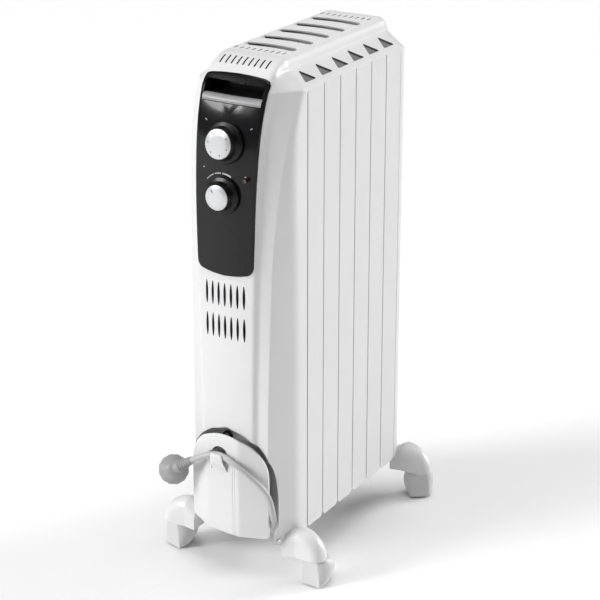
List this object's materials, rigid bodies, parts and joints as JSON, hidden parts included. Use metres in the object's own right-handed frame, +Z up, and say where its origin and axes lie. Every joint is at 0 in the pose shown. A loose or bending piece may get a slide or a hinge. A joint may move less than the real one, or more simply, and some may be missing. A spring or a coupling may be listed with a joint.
{
  "type": "oil filled radiator heater",
  "caption": "Portable oil filled column heater with a front control cover, two dials, finger grip, wrapped mains cord with plug, rear cover and swivelling castors on wide foot arms.",
  "frame": {"origin": "on the floor, under the middle of the heater without its cord", "axes": "+Z up, +X to the right of someone facing the controls, -Y towards that person, out of the control cover"},
  "size_m": [0.2402, 0.3772, 0.65],
  "materials": {
    "white_enamel": "smooth white stoved enamel on pressed steel",
    "white_plastic": "white moulded plastic with a fine satin texture",
    "castor_plastic": "pale grey moulded plastic, satin",
    "wheel_plastic": "dark grey nylon",
    "panel_black": "glossy black",
    "grip_grey": "mid grey satin plastic",
    "knob_black": "black, slightly satin",
    "knob_silver": "silver, finely brushed",
    "lamp_amber": "translucent amber lens",
    "case_plastic": "cream moulded electrical plastic",
    "zinc_steel": "zinc plated steel",
    "element_brass": "machined brass",
    "element_sheath": "annealed steel sheath",
    "gasket_rubber": "dark rubber",
    "wire_insulation": "silicone wire insulation",
    "cord_pvc": "pale grey flexible cord plastic, satin",
    "pin_plating": "nickel plated brass pins"
  },
  "bodies": {
    "heater_body": {"control_bracket": "zinc_steel", "control_panel": "panel_black", "cord_clip": "white_plastic", "cord_drum": "white_plastic", "cord_grommet": "gasket_rubber", "cord_tray": "white_plastic", "cord_wrap_plate": "white_plastic", "cover_screws": "zinc_steel", "element_flange": "element_brass", "element_gasket": "gasket_rubber", "front_cover": "white_plastic", "front_foot_bracket": "white_plastic", "front_foot_clamp": "zinc_steel", "front_wing_nuts": "zinc_steel", "handle_cup": "grip_grey", "header_plugs": "zinc_steel", "heating_element": "element_sheath", "hub_strap": "zinc_steel", "mains_cord_tail": "cord_pvc", "mains_cord_winding": "cord_pvc", "oil_filler_plug": "zinc_steel", "pilot_lamp": "lamp_amber", "plug_body": "cord_pvc", "plug_pins": "pin_plating", "power_switch_body": "case_plastic", "radiator_fin_1": "white_enamel", "radiator_fin_2": "white_enamel", "radiator_fin_3": "white_enamel", "radiator_fin_4": "white_enamel", "radiator_fin_5": "white_enamel", "radiator_fin_6": "white_enamel", "rear_cover": "white_plastic", "rear_foot_bracket": "white_plastic", "rear_foot_clamp": "zinc_steel", "rear_wing_nuts": "zinc_steel", "terminal_block": "case_plastic", "thermal_cutout": "zinc_steel", "thermostat_body": "case_plastic", "top_cover": "white_enamel", "wiring": "wire_insulation"},
    "thermostat_dial": {"thermostat_knob": "knob_black", "thermostat_knob_cap": "knob_silver", "thermostat_spindle": "zinc_steel"},
    "power_dial": {"power_knob": "knob_black", "power_knob_cap": "knob_silver", "power_spindle": "zinc_steel"},
    "front_right_castor": {"front_right_castor_boot": "castor_plastic", "front_right_castor_pins": "zinc_steel"},
    "front_right_wheel": {"front_right_castor_wheel": "wheel_plastic"},
    "front_left_castor": {"front_left_castor_boot": "castor_plastic", "front_left_castor_pins": "zinc_steel"},
    "front_left_wheel": {"front_left_castor_wheel": "wheel_plastic"},
    "rear_right_castor": {"rear_right_castor_boot": "castor_plastic", "rear_right_castor_pins": "zinc_steel"},
    "rear_right_wheel": {"rear_right_castor_wheel": "wheel_plastic"},
    "rear_left_castor": {"rear_left_castor_boot": "castor_plastic", "rear_left_castor_pins": "zinc_steel"},
    "rear_left_wheel": {"rear_left_castor_wheel": "wheel_plastic"}
  },
  "joints": [
    {"name": "thermostat_turn", "type": "hinge", "parent": "heater_body", "child": "thermostat_dial", "pos_m": [0, -0.1755, 0.5608], "axis": [0, 0.9903, -0.1392], "range_deg": [-30, 250]},
    {"name": "power_turn", "type": "hinge", "parent": "heater_body", "child": "power_dial", "pos_m": [0, -0.1804, 0.4987], "axis": [0, 0.9986, -0.0523], "range_deg": [-40, 80]},
    {"name": "front_right_swivel", "type": "hinge", "parent": "heater_body", "child": "front_right_castor", "pos_m": [0.097, -0.1226, 0.038], "axis": [0, 0, 1], "continuous": true},
    {"name": "front_right_roll", "type": "hinge", "parent": "front_right_castor", "child": "front_right_wheel", "pos_m": [0.09747, -0.11361, 0.0135], "axis": [0.9986, -0.0523, 0], "continuous": true},
    {"name": "front_left_swivel", "type": "hinge", "parent": "heater_body", "child": "front_left_castor", "pos_m": [-0.105, -0.1226, 0.038], "axis": [0, 0, 1], "continuous": true},
    {"name": "front_left_roll", "type": "hinge", "parent": "front_left_castor", "child": "front_left_wheel", "pos_m": [-0.10267, -0.11391, 0.0135], "axis": [0.9659, -0.2588, 0], "continuous": true},
    {"name": "rear_right_swivel", "type": "hinge", "parent": "heater_body", "child": "rear_right_castor", "pos_m": [0.097, 0.1564, 0.038], "axis": [0, 0, 1], "continuous": true},
    {"name": "rear_right_roll", "type": "hinge", "parent": "rear_right_castor", "child": "rear_right_wheel", "pos_m": [0.09158, 0.16359, 0.0135], "axis": [0.7986, 0.6018, 0], "continuous": true},
    {"name": "rear_left_swivel", "type": "hinge", "parent": "heater_body", "child": "rear_left_castor", "pos_m": [-0.105, 0.1564, 0.038], "axis": [0, 0, 1], "continuous": true},
    {"name": "rear_left_roll", "type": "hinge", "parent": "rear_left_castor", "child": "rear_left_wheel", "pos_m": [-0.09997, 0.16386, 0.0135], "axis": [0.829, -0.5592, 0], "continuous": true}
  ]
}
